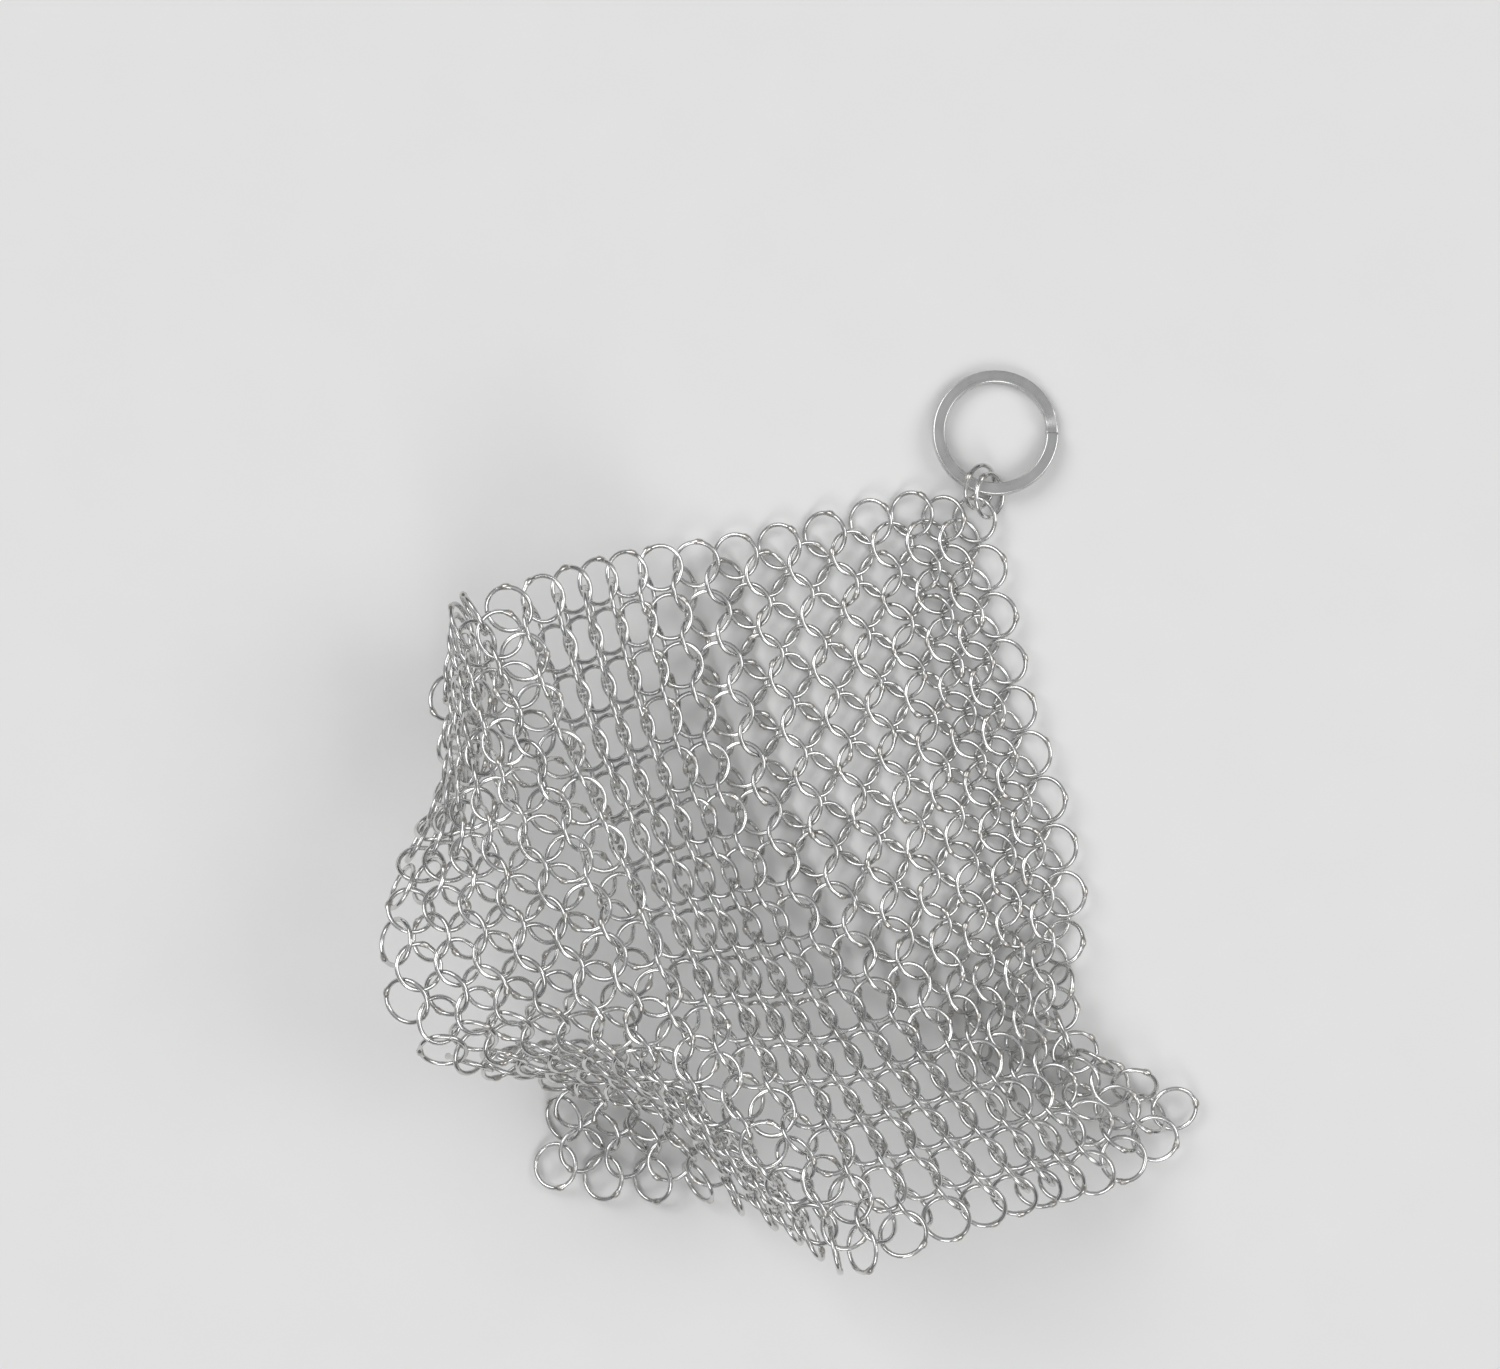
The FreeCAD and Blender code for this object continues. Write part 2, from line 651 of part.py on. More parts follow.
lower = add_coil("coil_lower", "sizes.ramp_start + sizes.ramp_span + sizes.end_gap",
                 "-sizes.coil_thickness - sizes.coil_gap / 2")
upper = add_coil("coil_upper", "sizes.ramp_start + sizes.ramp_span", "sizes.coil_gap / 2")

# the ramp is lofted through upright sections of the band, easing in and out
RAMP_SECTIONS = 9
sections = []
for s in range(RAMP_SECTIONS):
    f = s / (RAMP_SECTIONS - 1)
    angle = math.radians(size["ramp_start"] + f * size["ramp_span"])
    rise = (size["coil_thickness"] + size["coil_gap"]) * f * f * (3 - 2 * f)
    radial = FreeCAD.Vector(math.cos(angle), math.sin(angle), 0)
    upward = FreeCAD.Vector(0, 0, 1)
    face = doc.addObject("Part::Plane", "ramp_section_%d" % (s + 1))
    face.setExpression("Length", "sizes.band_width")
    face.setExpression("Width", "sizes.coil_thickness")
    foot = radial * (size["key_outside"] / 2 - size["band_width"])
    foot.z = rise - HALF_BAND
    face.Placement = FreeCAD.Placement(foot, FreeCAD.Rotation(radial, upward, radial.cross(upward), "XYZ"))
    sections.append(face)
ramp = doc.addObject("Part::Loft", "ramp")
ramp.Sections = sections
ramp.Solid = True
ramp.Ruled = False
key_ring = doc.addObject("Part::MultiFuse", "key_ring")
key_ring.Shapes = [lower, ramp, upper]
key_ring.Refine = True
# the step between the coils shows on the right of the sheet
key_right = FreeCAD.Vector(*key_side)
key_far = FreeCAD.Vector(*key_way)
key_turn = FreeCAD.Rotation(key_right, key_far, FreeCAD.Vector(*key_axis), "XYZ")
key_ring.Placement = FreeCAD.Placement(FreeCAD.Vector(*key_middle), key_turn)
nodes.append(key_ring)

doc.recompute()
for item in doc.Objects:
    if "Invalid" in item.State or "Error" in item.State:
        raise RuntimeError("not built: " + item.Name)
for node in nodes:
    if node.Shape.isNull() or not node.Shape.isValid():
        raise RuntimeError("bad shape: " + node.Name)
    node.Label = node.Name
    node.Shape.exportStep("parts/" + node.Name + ".step")
    print(node.Name, len(node.Shape.Solids), "solids")
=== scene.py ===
"""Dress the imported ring-mesh pot scrubber: bright welded rings in a draped sheet, and a flat split ring.

Lengths are in metres unless a name says otherwise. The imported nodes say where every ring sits.
"""

import json
import logging
import math
import random
from dataclasses import dataclass, field
from enum import Enum
from typing import Iterator, NamedTuple, Union

import bpy
import numpy as np
from mathutils import Matrix, Vector

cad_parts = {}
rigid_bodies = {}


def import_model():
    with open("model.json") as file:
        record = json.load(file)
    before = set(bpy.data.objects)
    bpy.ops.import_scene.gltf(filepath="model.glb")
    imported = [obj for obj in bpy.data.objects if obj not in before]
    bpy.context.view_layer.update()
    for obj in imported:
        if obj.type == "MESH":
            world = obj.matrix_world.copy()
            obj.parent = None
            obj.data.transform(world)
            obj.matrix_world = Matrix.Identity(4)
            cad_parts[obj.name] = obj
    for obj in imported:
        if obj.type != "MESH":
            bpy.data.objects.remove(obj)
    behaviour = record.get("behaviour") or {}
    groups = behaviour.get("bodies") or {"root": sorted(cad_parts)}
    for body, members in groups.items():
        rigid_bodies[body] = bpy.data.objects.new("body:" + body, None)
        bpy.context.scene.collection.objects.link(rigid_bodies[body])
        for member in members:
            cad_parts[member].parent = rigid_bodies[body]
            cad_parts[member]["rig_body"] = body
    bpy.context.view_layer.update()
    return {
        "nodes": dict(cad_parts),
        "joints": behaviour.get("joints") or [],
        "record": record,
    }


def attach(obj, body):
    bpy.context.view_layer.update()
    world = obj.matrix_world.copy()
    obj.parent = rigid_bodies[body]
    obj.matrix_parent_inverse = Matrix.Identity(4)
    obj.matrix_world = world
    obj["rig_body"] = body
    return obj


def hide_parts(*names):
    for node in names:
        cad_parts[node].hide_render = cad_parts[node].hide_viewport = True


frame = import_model()

MM = 0.001
FULL_TURN = 360.0  # degrees
QUARTER_TURN = FULL_TURN / 4
MERGE_DECIMALS = 6  # packed vertices that agree to a thousandth of a millimetre are one point

Colour = tuple[float, float, float, float]
Place = tuple[float, float, float]
Feed = Union[bpy.types.NodeSocket, float, tuple]

log = logging.getLogger("scrubber")


class Slot(Enum):
    """The record's material slots."""

    RING_STEEL = "ring_steel"
    BAND_STEEL = "band_steel"


class RingRole(Enum):
    """What a node of rings does in the scrubber, by the start of its name."""

    WOVEN = "mesh_row"
    CORNER = "corner_ring"
    CONNECTOR = "connector_ring"

    @classmethod
    def of(cls, node: str) -> "RingRole | None":
        """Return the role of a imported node, or None where the node holds no wire rings."""
        return next((role for role in cls if node.startswith(role.value)), None)


class NodeTree:
    """A thin hand on a shader node tree, to place and wire nodes in short lines."""

    # The mix node's sockets for a share and two colours, among those for other kinds of value.
    COLOUR_INPUTS = (0, 6, 7)
    COLOUR_OUTPUT = 2

    def __init__(self, tree: bpy.types.NodeTree) -> None:
        """Hold the tree and empty it."""
        self.tree = tree
        tree.nodes.clear()

    def put(self, socket: bpy.types.NodeSocket, value: Feed) -> None:
        """Wire an input to another node's output, or set it to a value.

        Args:
            socket: The input.
            value: The output that feeds it, or the value that it keeps.
        """
        if isinstance(value, bpy.types.NodeSocket):
            self.tree.links.new(value, socket)
        else:
            socket.default_value = value

    def add(self, kind: str, settings: dict | None = None, **inputs: Feed) -> bpy.types.Node:
        """Place a node.

        Args:
            kind: The node's type, without the leading ShaderNode.
            settings: Properties of the node itself, such as the name of an attribute.
            **inputs: A socket to wire from, or a value, by input name with _ for a space.

        Returns:
            The new node.
        """
        node = self.tree.nodes.new(kind if kind.startswith("NodeGroup") else "ShaderNode" + kind)
        for name, value in (settings or {}).items():
            setattr(node, name, value)
        for name, value in inputs.items():
            self.put(node.inputs[name.replace("_", " ")], value)
        return node

    def math(self, operation: str, *values: Feed) -> bpy.types.NodeSocket:
        """Work out a sum.

        Args:
            operation: The node's own name of the sum, such as MULTIPLY.
            *values: What goes into the sum, in the order of the node's inputs.

        Returns:
            The socket that holds the result.
        """
        node = self.tree.nodes.new("ShaderNodeMath")
        node.operation = operation
        for socket, value in zip(node.inputs, values):
            self.put(socket, value)
        return node.outputs[0]

    def mix(self, share: Feed, first: Feed, second: Feed) -> bpy.types.NodeSocket:
        """Mix two colours.

        Args:
            share: How much of the second colour shows, from 0 to 1.
            first: The colour at 0.
            second: The colour at 1.

        Returns:
            The socket that holds the mixed colour.
        """
        node = self.tree.nodes.new("ShaderNodeMix")
        node.data_type = "RGBA"
        for which, value in zip(self.COLOUR_INPUTS, (share, first, second)):
            self.put(node.inputs[which], value)
        return node.outputs[self.COLOUR_OUTPUT]

    def spread(self, value: Feed, low: float, high: float) -> bpy.types.NodeSocket:
        """Return a value from 0 to 1 spread over another range."""
        return self.add("MapRange", {"clamp": True}, Value=value, To_Min=low, To_Max=high).outputs[0]

    def place(self) -> bpy.types.NodeSocket:
        """Return the place of a point in its piece's own frame."""
        return self.add("TexCoord").outputs["Object"]

    def mask(self, name: str) -> bpy.types.NodeSocket:
        """Return a mask that the mesh carries on its points."""
        return self.add("Attribute", {"attribute_name": name}).outputs["Fac"]


@dataclass(frozen=True)
class HandlingMarks:
    """The smudges and fine grain of worn bright steel, as a node group that each steel finish places."""

    name: str = "handling_marks"
    smudge_low: float = 0.42
    smudge_high: float = 0.66
    smudge_detail: float = 3.0
    smudge_raggedness: float = 0.6
    smudge_height: float = 0.35
    grain_detail: float = 2.0
    grain_raggedness: float = 0.5

    def build(self) -> bpy.types.NodeTree:
        """Make the group, once.

        Returns:
            The node group, with Smudge and Grain masks and a Height.
        """
        tree = bpy.data.node_groups.get(self.name)
        if tree is not None:
            return tree
        tree = bpy.data.node_groups.new(self.name, "ShaderNodeTree")
        for socket in ("Smudge Scale", "Grain Scale"):
            tree.interface.new_socket(socket, in_out="INPUT", socket_type="NodeSocketFloat")
        for socket in ("Smudge", "Grain", "Height"):
            tree.interface.new_socket(socket, in_out="OUTPUT", socket_type="NodeSocketFloat")
        hand = NodeTree(tree)
        asked = hand.add("NodeGroupInput").outputs
        place = hand.place()
        patches = hand.add("TexNoise", Vector=place, Scale=asked["Smudge Scale"],
                           Detail=self.smudge_detail, Roughness=self.smudge_raggedness).outputs[0]
        smudge = hand.add("MapRange", {"clamp": True}, Value=patches,
                          From_Min=self.smudge_low, From_Max=self.smudge_high).outputs[0]
        grain = hand.add("TexNoise", Vector=place, Scale=asked["Grain Scale"],
                         Detail=self.grain_detail, Roughness=self.grain_raggedness).outputs[0]
        height = hand.math("MULTIPLY_ADD", smudge, self.smudge_height, grain)
        hand.add("NodeGroupOutput", Smudge=smudge, Grain=grain, Height=height)
        return tree


@dataclass(frozen=True)
class Finish:
    """One surface finish, which makes a material of its own."""

    name: str

    def build(self) -> bpy.types.Material:
        """Make the material.

        Returns:
            The material, wired to the finish's own surface.
        """
        material = bpy.data.materials.new(self.name)
        material.use_nodes = True
        hand = NodeTree(material.node_tree)
        hand.add("OutputMaterial", Surface=self.surface(hand))
        return material

    def surface(self, hand: NodeTree) -> bpy.types.NodeSocket:
        """Return the shader of the surface, which each finish wires in its own way."""
        raise NotImplementedError(self.name)


@dataclass(frozen=True)
class SteelFinish(Finish):
    """Bare steel that carries handling marks."""

    smudge_scale: float
    grain_scale: float
    smooth: float
    worn: float
    bump: float
    bump_depth: float

    def marks(self, hand: NodeTree) -> bpy.types.NodeOutputs:
        """Place the handling marks at this finish's scales.

        Args:
            hand: The material's tree.

        Returns:
            The group's outputs, by name.
        """
        group = HandlingMarks().build()
        marks = hand.add("Group", {"node_tree": group},
                         Smudge_Scale=self.smudge_scale, Grain_Scale=self.grain_scale)
        return marks.outputs

    def steel(self, hand: NodeTree, colour: Feed, rough: Feed, height: Feed) -> bpy.types.NodeSocket:
        """Place the steel's shader.

        Args:
            hand: The material's tree.
            colour: The colour of the metal.
            rough: The roughness.
            height: The fine relief.

        Returns:
            The socket that holds the shader.
        """
        bump = hand.add("Bump", Height=height, Strength=self.bump, Distance=self.bump_depth).outputs[0]
        steel = hand.add("BsdfPrincipled", Base_Color=colour, Roughness=rough, Normal=bump, Metallic=1.0)
        return steel.outputs[0]


@dataclass(frozen=True)
class WireFinish(SteelFinish):
    """Bright polished wire, duller where it has been handled, and rough and faintly tinted at the weld."""

    name: str = "bright_wire"
    smudge_scale: float = 230.0
    grain_scale: float = 2600.0
    smooth: float = 0.11
    worn: float = 0.28
    bump: float = 0.22
    bump_depth: float = 0.06 * MM
    bright: Colour = (0.77, 0.77, 0.76, 1.0)
    dull: Colour = (0.50, 0.50, 0.495, 1.0)
    weld: Colour = (0.54, 0.51, 0.47, 1.0)
    smudge_dulling: float = 0.55
    ring_dulling: float = 0.35
    weld_tint: float = 0.7
    weld_rough: float = 0.16

    def surface(self, hand: NodeTree) -> bpy.types.NodeSocket:
        """Wire the finish of the rings.

        Args:
            hand: The material's tree.

        Returns:
            The socket that holds the shader.
        """
        marks = self.marks(hand)
        weld = hand.mask(WeldedRing.WELD_MASK)
        shade = hand.math("MULTIPLY", hand.mask(WeldedRing.RING_SHADE), self.ring_dulling)
        dulling = hand.math("MULTIPLY_ADD", marks["Smudge"], self.smudge_dulling, shade)
        colour = hand.mix(dulling, self.bright, self.dull)
        colour = hand.mix(hand.math("MULTIPLY", weld, self.weld_tint), colour, self.weld)
        wear = hand.math("MULTIPLY", marks["Smudge"], marks["Grain"])
        rough = hand.spread(wear, self.smooth, self.worn)
        rough = hand.math("MULTIPLY_ADD", weld, self.weld_rough, rough)
        return self.steel(hand, colour, rough, marks["Height"])


@dataclass(frozen=True)
class BandFinish(SteelFinish):
    """Satin flat band, with fine lines along the coil, and a painted highlight on its rounded edges, which
    are also smoother.
    """

    name: str = "satin_band"
    smudge_scale: float = 180.0
    grain_scale: float = 1800.0
    smooth: float = 0.24
    worn: float = 0.42
    bump: float = 0.30
    bump_depth: float = 0.05 * MM
    face: Colour = (0.42, 0.42, 0.416, 1.0)
    line: Colour = (0.56, 0.56, 0.555, 1.0)
    # The colour of the painted highlight on the rounded edges.
    painted_highlight: Colour = (0.88, 0.88, 0.87, 1.0)
    line_scale: float = 9000.0
    line_detail: float = 2.0
    line_raggedness: float = 0.7
    line_wear: float = 0.4
    line_height: float = 0.6
    smudge_wear: float = 0.6
    marks_height: float = 0.4
    edge_shine: float = 0.8
    edge_polish: float = 0.08

    def lines(self, hand: NodeTree) -> bpy.types.NodeSocket:
        """Draw fine lines that run round the coil, the same all along each turn.

        Args:
            hand: The material's tree.

        Returns:
            The socket that holds the strength of the lines, from 0 to 1.
        """
        place = hand.add("SeparateXYZ", Vector=hand.place()).outputs
        square = hand.math("MULTIPLY", place["Y"], place["Y"])
        square = hand.math("MULTIPLY_ADD", place["X"], place["X"], square)
        section = hand.add("CombineXYZ", X=hand.math("SQRT", square), Y=place["Z"]).outputs[0]
        lines = hand.add("TexNoise", Vector=section, Scale=self.line_scale,
                         Detail=self.line_detail, Roughness=self.line_raggedness)
        return lines.outputs[0]

    def surface(self, hand: NodeTree) -> bpy.types.NodeSocket:
        """Wire the finish of the split ring.

        Args:
            hand: The material's tree.

        Returns:
            The socket that holds the shader.
        """
        marks = self.marks(hand)
        lines = self.lines(hand)
        edge = hand.mask(SplitRing.EDGE_MASK)
        colour = hand.mix(lines, self.face, self.line)
        # A painted highlight: the rounded edges are painted in a brighter colour.
        colour = hand.mix(hand.math("MULTIPLY", edge, self.edge_shine), colour, self.painted_highlight)
        wear = hand.math("MULTIPLY", lines, self.line_wear)
        wear = hand.math("MULTIPLY_ADD", marks["Smudge"], self.smudge_wear, wear)
        rough = hand.spread(wear, self.smooth, self.worn)
        rough = hand.math("MULTIPLY_ADD", edge, -self.edge_polish, rough)
        height = hand.math("MULTIPLY", marks["Height"], self.marks_height)
        height = hand.math("MULTIPLY_ADD", lines, self.line_height, height)
        return self.steel(hand, colour, rough, height)


@dataclass(frozen=True)
class FloorFinish(Finish):
    """Plain pale matt floor."""

    name: str = "pale_floor"
    pale: Colour = (0.80, 0.80, 0.795, 1.0)
    grain: Colour = (0.775, 0.775, 0.77, 1.0)
    grain_scale: float = 60.0
    grain_detail: float = 4.0
    rough: float = 0.75
    gloss: float = 0.2

    def surface(self, hand: NodeTree) -> bpy.types.NodeSocket:
        """Wire the finish of the floor.

        Args:
            hand: The material's tree.

        Returns:
            The socket that holds the shader.
        """
        grain = hand.add("TexNoise", Vector=hand.place(), Scale=self.grain_scale, Detail=self.grain_detail)
        colour = hand.mix(grain.outputs[0], self.pale, self.grain)
        matt = hand.add("BsdfPrincipled", Base_Color=colour, Roughness=self.rough,
                        Specular_IOR_Level=self.gloss)
        return matt.outputs[0]


def mark_points(mesh: bpy.types.Mesh, name: str, values: np.ndarray) -> None:
    """Write a mask on the points of a mesh.

    Args:
        mesh: The mesh.
        name: The mask's name, by which a finish reads it.
        values: The mask at each point, from 0 to 1.
    """
    mask = mesh.attributes.new(name, "FLOAT", "POINT")
    mask.data.foreach_set("value", values.astype(np.float32))


def stand_for(node: str, mesh: bpy.types.Mesh, slot: Slot, place: Matrix) -> bpy.types.Object:
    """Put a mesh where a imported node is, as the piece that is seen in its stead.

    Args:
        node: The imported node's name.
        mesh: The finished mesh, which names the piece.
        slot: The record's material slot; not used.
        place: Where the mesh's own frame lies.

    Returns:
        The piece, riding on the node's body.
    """
    piece = bpy.data.objects.new(mesh.name, mesh)
    bpy.context.scene.collection.objects.link(piece)
    piece.matrix_world = place
    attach(piece, frame["nodes"][node]["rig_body"])
    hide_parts(node)
    return piece


@dataclass(frozen=True)
class Hoop:
    """One wire ring's place: its node, its middle and the direction of its axle."""

    node: str
    middle: np.ndarray
    axle: np.ndarray

    NEAR_X = 0.9  # an axle closer to X than this cosine measures its angles from Y instead

    @property
    def plane(self) -> tuple[np.ndarray, np.ndarray]:
        """Two directions at right angles in the ring's plane.

        Returns:
            The directions at 0 and at a quarter turn.
        """
        guide = np.array((1.0, 0.0, 0.0) if abs(self.axle[0]) < self.NEAR_X else (0.0, 1.0, 0.0))
        first = guide - self.axle * (guide @ self.axle)
        first /= np.linalg.norm(first)
        return first, np.cross(self.axle, first)

    def toward(self, angle: np.ndarray | float) -> np.ndarray:
        """Return the direction from the middle at an angle, or at each of several."""
        first, second = self.plane
        return np.multiply.outer(np.cos(angle), first) + np.multiply.outer(np.sin(angle), second)


def islands(count: int, edges: np.ndarray) -> np.ndarray:
    """Label the points that edges join.

    Args:
        count: How many points there are.
        edges: Pairs of point numbers.

    Returns:
        A label for each point, the same within one joined set.
    """
    label = np.arange(count)
    while True:
        least = np.minimum(label[edges[:, 0]], label[edges[:, 1]])
        lowered = label.copy()
        np.minimum.at(lowered, edges[:, 0], least)
        np.minimum.at(lowered, edges[:, 1], least)
        lowered = lowered[lowered]  # a point takes on the label of the point that its label names
        if (lowered == label).all():
            return label
        label = lowered


def hoops_of(node: str) -> Iterator[Hoop]:
    """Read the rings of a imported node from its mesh.

    Args:
        node: The node's name.

    Yields:
        Each ring's place, in the order of its first vertex.
    """
    mesh = frame["nodes"][node].data
    points = np.empty(len(mesh.vertices) * 3)
    mesh.vertices.foreach_get("co", points)
    ends = np.empty(len(mesh.edges) * 2, dtype=int)
    mesh.edges.foreach_get("vertices", ends)
    places, which = np.unique(points.reshape(-1, 3).round(MERGE_DECIMALS), axis=0, return_inverse=True)
    which = which.ravel()
    label = islands(len(places), which[ends.reshape(-1, 2)])
    for first in dict.fromkeys(label[which]):
        ring = places[label == first]
        middle = (ring.min(0) + ring.max(0)) / 2
        # The axle is the direction in which the ring's points spread least.
        axle = np.linalg.svd(ring - ring.mean(0), full_matrices=False)[2][2]
        yield Hoop(node, middle, axle if axle[2] >= 0 else -axle)


@dataclass(frozen=True)
class WeldedRing:
    """A ring of round wire, closed by a butt weld that leaves a lump with a notch at the joint.

    The lump and the notch are shares of the wire's radius, and their half widths are angles at the middle.
    """

    outside: float = 9.8 * MM
    wire: float = 0.95 * MM
    along: int = 48
    around: int = 10
    crowding: float = 0.55
    lump: float = 0.42
    lump_least: float = 0.7
    lump_most: float = 1.2
    lump_half: float = math.radians(10)
    lump_shoulder: float = 3.0
    lean: float = 0.35
    outward: float = 0.10 * MM
    notch: float = 0.13
    notch_half: float = math.radians(2.6)
    notch_even: float = 0.4
    notch_turn: float = 4.0
    shapes: int = 6
    seed: int = 41

    WELD_MASK = "weld_mask"
    RING_SHADE = "ring_shade"

    @property
    def radius(self) -> float:
        """The radius of the wire's middle line."""
        return (self.outside - self.wire) / 2

    def angles(self) -> np.ndarray:
        """Return the stations round the ring, closer together at the weld, which is at 0."""
        even = np.linspace(-math.pi, math.pi, self.along, endpoint=False)
        return even - self.crowding * np.sin(even)

    def points(self, shape: int, share: float) -> tuple[np.ndarray, np.ndarray]:
        """Work out one shape of the ring about its own axle, the weld on +X.

        Args:
            shape: Which of the slightly different welds to make.
            share: How much of the weld's lump there is room for, from 0 to 1.

        Returns:
            The points, and the weld mask of each.
        """
        draw = random.Random(self.seed + shape)
        size = share * self.lump * draw.uniform(self.lump_least, self.lump_most)
        lean = draw.uniform(-self.lean, self.lean)
        angle = self.angles()[:, None]
        turn = np.linspace(0, 2 * math.pi, self.around, endpoint=False)[None, :]
        mask = np.exp(-np.abs(angle / self.lump_half) ** self.lump_shoulder)
        bulge = size * mask * (1 + lean * angle / self.lump_half)
        depth = self.notch_even + (1 - self.notch_even) * np.cos(turn + lean * self.notch_turn) ** 2
        groove = self.notch * depth * np.exp(-(angle / self.notch_half) ** 2)
        thick = self.wire / 2 * (1 + bulge - groove)
        reach = self.radius + share * self.outward * mask + thick * np.cos(turn)
        grid = np.stack((reach * np.cos(angle), reach * np.sin(angle), thick * np.sin(turn)), axis=-1)
        return grid.reshape(-1, 3), np.repeat(mask[:, 0], self.around)

    def faces(self) -> np.ndarray:
        """Join the points of one ring.

        Returns:
            The quads, as point numbers.
        """
        station, side = np.meshgrid(np.arange(self.along), np.arange(self.around), indexing="ij")
        here = station * self.around
        ahead = (station + 1) % self.along * self.around
        beside = (side + 1) % self.around
        quads = np.stack((here + side, ahead + side, ahead + beside, here + beside), axis=-1)
        return quads.reshape(-1, 4)


class PlacedRing(NamedTuple):
    """One ring in the frame: its points, the weld mask of each, and how dull the whole ring is."""

    points: np.ndarray
    weld: np.ndarray
    shade: float


@dataclass(frozen=True)
class RingMesh:
    """All the wire rings: the woven rows, the loose corner rings and the two that carry the split ring.

    A weld can sit on any of the even seats round its ring, and covers the seats within reach on each side.
    Rings whose middles are within the neighbour distance, in ring radii, are kept clear of it.
    """

    ring: WeldedRing = field(default_factory=WeldedRing)
    finish: WireFinish = field(default_factory=WireFinish)
    seats: int = 48
    reach: int = 2
    neighbour: float = 2.3
    weld_room: float = 0.35 * MM
    roomy: float = 0.6
    seed: int = 7

    def weld_seats(self, hoops: list[Hoop]) -> list[tuple[float, float]]:
        """Choose where on each ring the weld sits, on one of its roomiest stretches.

        Args:
            hoops: Every ring's place.

        Returns:
            The angle of each ring's weld in its own plane, and the share of its lump that has room there.
        """
        draw = random.Random(self.seed)
        middles = np.array([hoop.middle for hoop in hoops])
        axles = np.array([hoop.axle for hoop in hoops])
        angle = np.linspace(0, 2 * math.pi, self.seats, endpoint=False)
        chosen = []
        for number, hoop in enumerate(hoops):
            near = np.linalg.norm(middles - hoop.middle, axis=1) < self.neighbour * self.ring.radius
            near[number] = False
            spots = hoop.middle + self.ring.radius * hoop.toward(angle)
            room = self.room_at(spots, middles[near], axles[near])
            most = room.max()
            free = np.flatnonzero(room >= max(self.roomy * most, min(self.weld_room, most)))
            seat = free[int(draw.random() * len(free))]
            chosen.append((angle[seat], max(0.0, min(1.0, room[seat] / self.weld_room))))
        return chosen

    def room_at(self, spots: np.ndarray, middles: np.ndarray, axles: np.ndarray) -> np.ndarray:
        """Measure the room that a ring's wire has at each seat.

        Args:
            spots: The seats on the wire's middle line.
            middles: The middles of the rings near by.
            axles: The axles of the rings near by.

        Returns:
            The least gap to another ring or to the floor, over each seat and those within reach of it.
        """
        away = spots[:, None, :] - middles[None]
        rise = (away * axles[None]).sum(2)
        flat = np.sqrt(np.maximum((away ** 2).sum(2) - rise ** 2, 0))
        to_wire = np.hypot(rise, flat - self.ring.radius).min(1) - self.ring.wire
        to_floor = spots[:, 2] - self.ring.wire / 2
        room = np.minimum(to_wire, to_floor)
        return np.min([np.roll(room, step) for step in range(-self.reach, self.reach + 1)], axis=0)

    def build(self) -> list[bpy.types.Object]:
        """Make one piece for each node of rings.

        Returns:
            The new pieces, each riding on its node's body.
        """
        material = self.finish.build()
        nodes = [node for node in sorted(frame["nodes"]) if RingRole.of(node)]
        hoops = [hoop for node in nodes for hoop in hoops_of(node)]
        draw = random.Random(self.seed + 1)
        members: dict[str, list[PlacedRing]] = {node: [] for node in nodes}
        for hoop, (weld, share) in zip(hoops, self.weld_seats(hoops)):
            toward = hoop.toward(weld)
            points, mask = self.ring.points(draw.randrange(self.ring.shapes), share)
            placed = hoop.middle + points @ np.array((toward, np.cross(hoop.axle, toward), hoop.axle))
            members[hoop.node].append(PlacedRing(placed, mask, draw.random()))
        return [self.piece(node, rings, material) for node, rings in members.items()]

    def piece(self, node: str, rings: list[PlacedRing], material: bpy.types.Material) -> bpy.types.Object:
        """Make the piece that stands for one node.

        Args:
            node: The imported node's name.
            rings: The rings of that node.
            material: The finish of the wire.

        Returns:
            The piece.
        """
        points = np.concatenate([ring.points for ring in rings])
        step = len(rings[0].points)
        quads = np.concatenate([self.ring.faces() + step * number for number in range(len(rings))])
        mesh = bpy.data.meshes.new("wire_" + node)
        mesh.from_pydata(points.tolist(), [], quads.tolist())
        mesh.shade_smooth()
        mark_points(mesh, WeldedRing.WELD_MASK, np.concatenate([ring.weld for ring in rings]))
        mark_points(mesh, WeldedRing.RING_SHADE, np.repeat([ring.shade for ring in rings], step))
        mesh.materials.append(material)
        return stand_for(node, mesh, Slot.RING_STEEL, Matrix())


